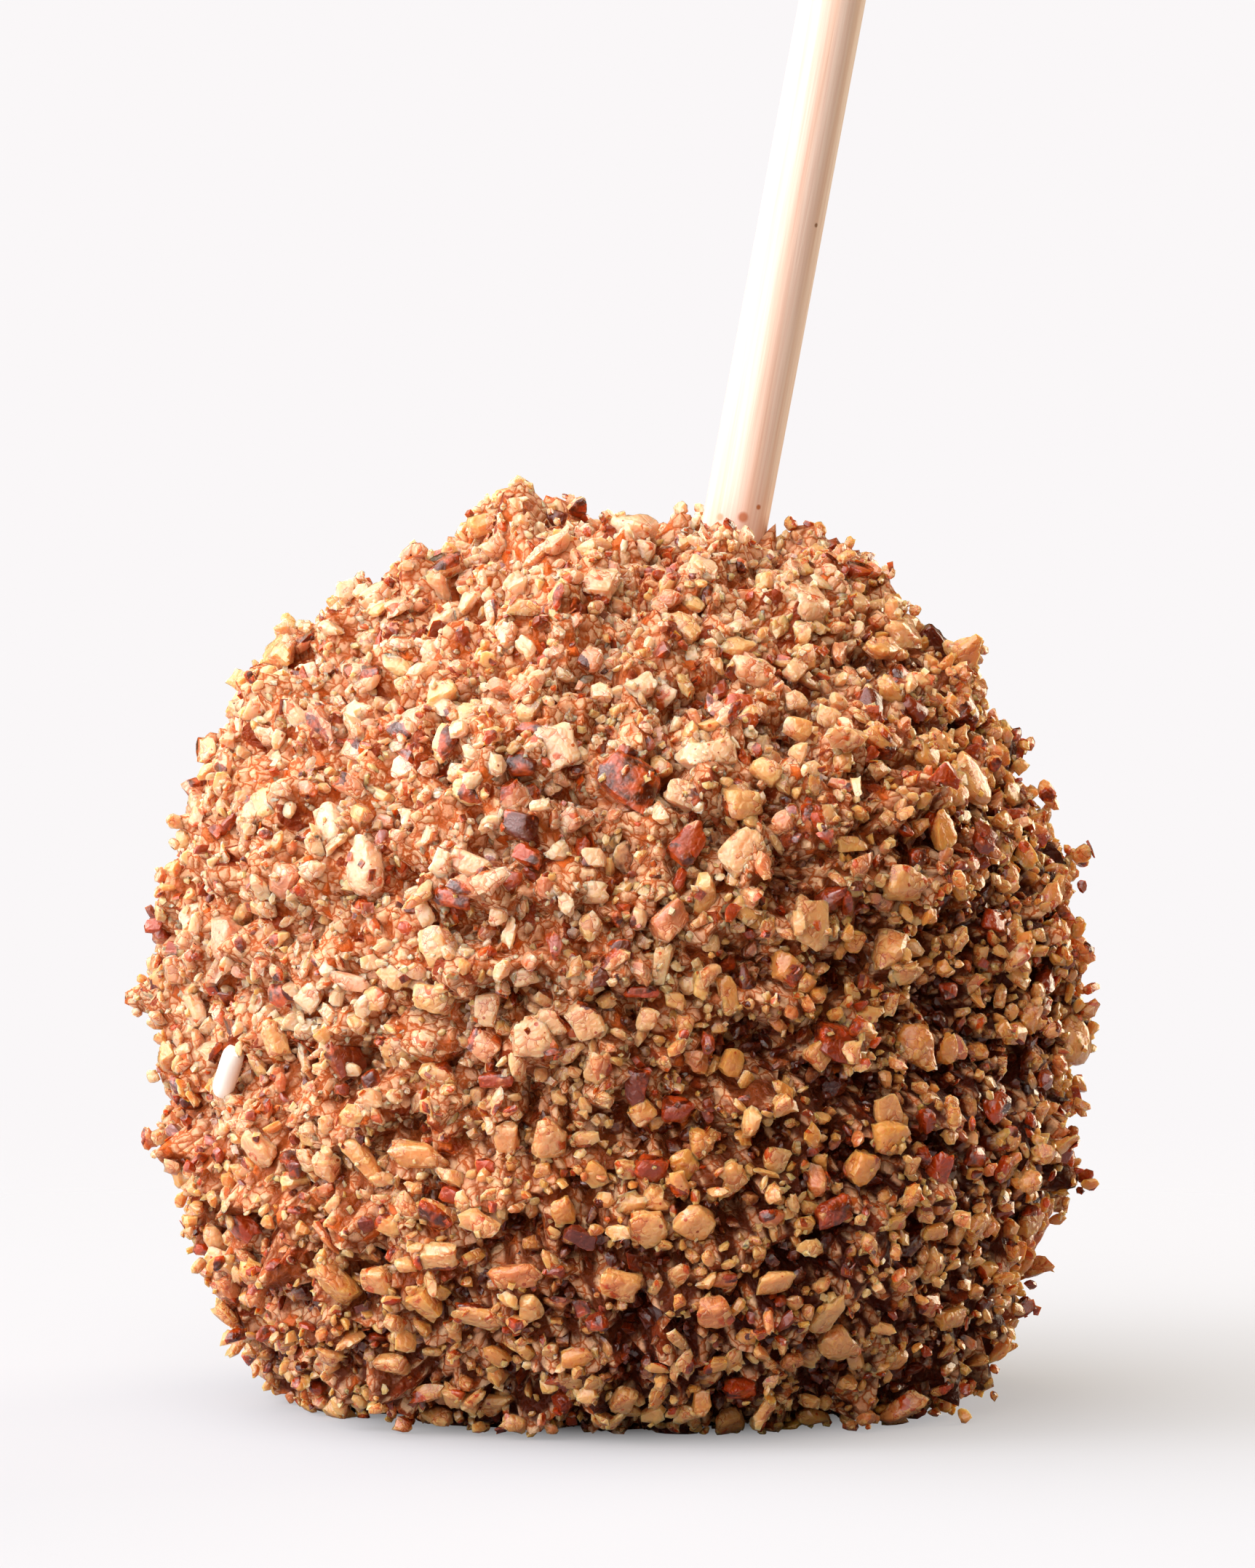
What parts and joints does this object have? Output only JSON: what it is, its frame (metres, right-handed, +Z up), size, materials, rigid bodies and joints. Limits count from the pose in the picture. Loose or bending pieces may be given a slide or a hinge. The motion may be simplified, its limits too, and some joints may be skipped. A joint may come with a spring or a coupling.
{
  "type": "caramel apple",
  "caption": "Whole caramel apple thickly coated in chopped nuts, standing on its flat foot, with a plain round wooden stick leaning out of the crown.",
  "frame": {"origin": "middle of the flat foot that the apple stands on, below the centre of the apple", "axes": "+Z up, front towards -Y, +X to the right; the stick leans towards +X in the XZ plane"},
  "size_m": [0.0902, 0.0887, 0.1646],
  "materials": {
    "nut_coat": "chopped nuts, cream to reddish brown, slightly moist",
    "nut_skin": "red-brown skins of the nuts, satin",
    "caramel": "caramel full of nut meal, satin",
    "sugar": "opaque white sugar strand",
    "stick_wood": "smooth pale birch dowel"
  },
  "bodies": {
    "root": {"coated_apple": "nut_coat", "stick": "stick_wood"}
  },
  "joints": []
}
